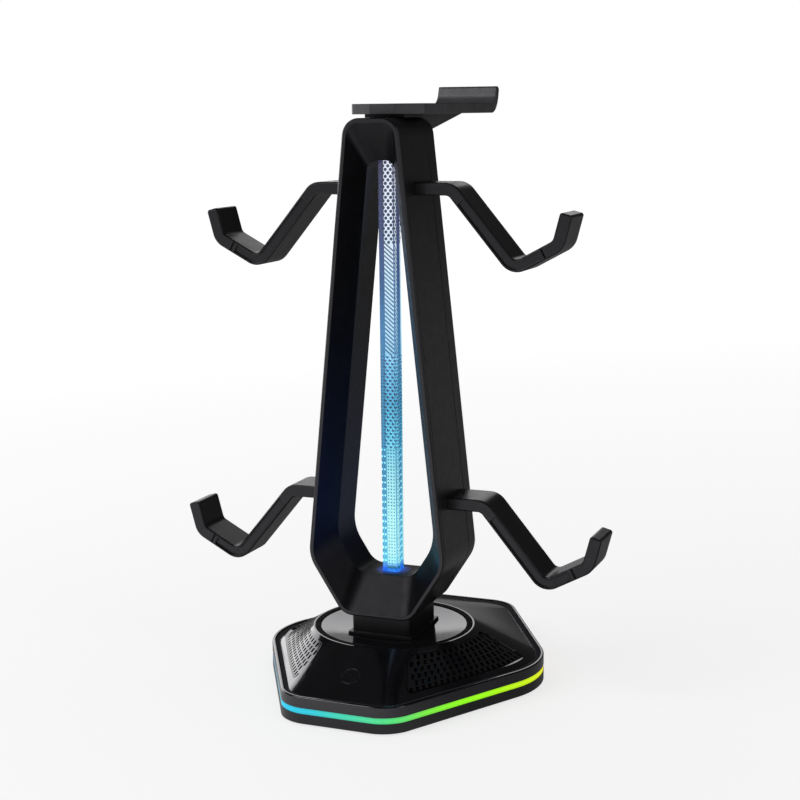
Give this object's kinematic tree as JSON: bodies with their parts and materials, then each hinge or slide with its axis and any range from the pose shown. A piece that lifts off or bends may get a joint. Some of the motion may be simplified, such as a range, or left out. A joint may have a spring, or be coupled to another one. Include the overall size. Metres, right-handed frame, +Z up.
{
  "type": "controller and headset stand",
  "caption": "Tower stand on a lit hexagonal base, with a clear light column inside an open frame, cradle hooks for game controllers on both sides and a headset rest on top.",
  "frame": {"origin": "on the table, under the middle of the tower", "axes": "+Z up, front of the stand faces -Y, +X to the right as seen from behind the front looking towards +Y"},
  "size_m": [0.2046, 0.1772, 0.2771],
  "materials": {
    "mat": "matt silicone",
    "tray": "fine satin",
    "steel": "zinc plated",
    "diffuser": "frosted, lit from behind in changing colours",
    "cover": "gloss",
    "grille": "satin",
    "trim": "satin",
    "board": "solder mask",
    "header": "natural nylon",
    "socket": "drawn",
    "lamp": "phosphor window",
    "lead": "matt",
    "tower": "satin",
    "acrylic": "clear, with a lattice of bubbles inside",
    "hook": "satin gloss",
    "rest": "satin",
    "screw": "black zinc"
  },
  "bodies": {
    "root": {"base_mat": "mat", "base_tray": "tray", "ballast_plate": "steel", "light_ring": "diffuser", "led_strip": "board", "strip_leds": "lamp", "base_cover": "cover", "grille_left": "grille", "grille_right": "grille", "ring_trim": "trim", "dish": "cover", "touch_board": "board", "control_board": "board", "board_header": "header", "usb_socket": "socket", "neck": "trim", "tower_front": "tower", "tower_rear": "tower", "light_column": "acrylic", "lamp_board": "board", "column_lamp": "lamp", "lamp_header": "header", "lamp_lead": "lead", "hook_upper_right": "hook", "hook_upper_left": "hook", "hook_lower_right": "hook", "hook_lower_left": "hook", "rest_riser": "trim", "headset_rest": "rest", "base_screws": "screw", "board_screws": "screw", "neck_screws": "screw", "tower_screws": "screw", "rear_screws": "screw", "rest_screws": "screw"}
  },
  "joints": []
}
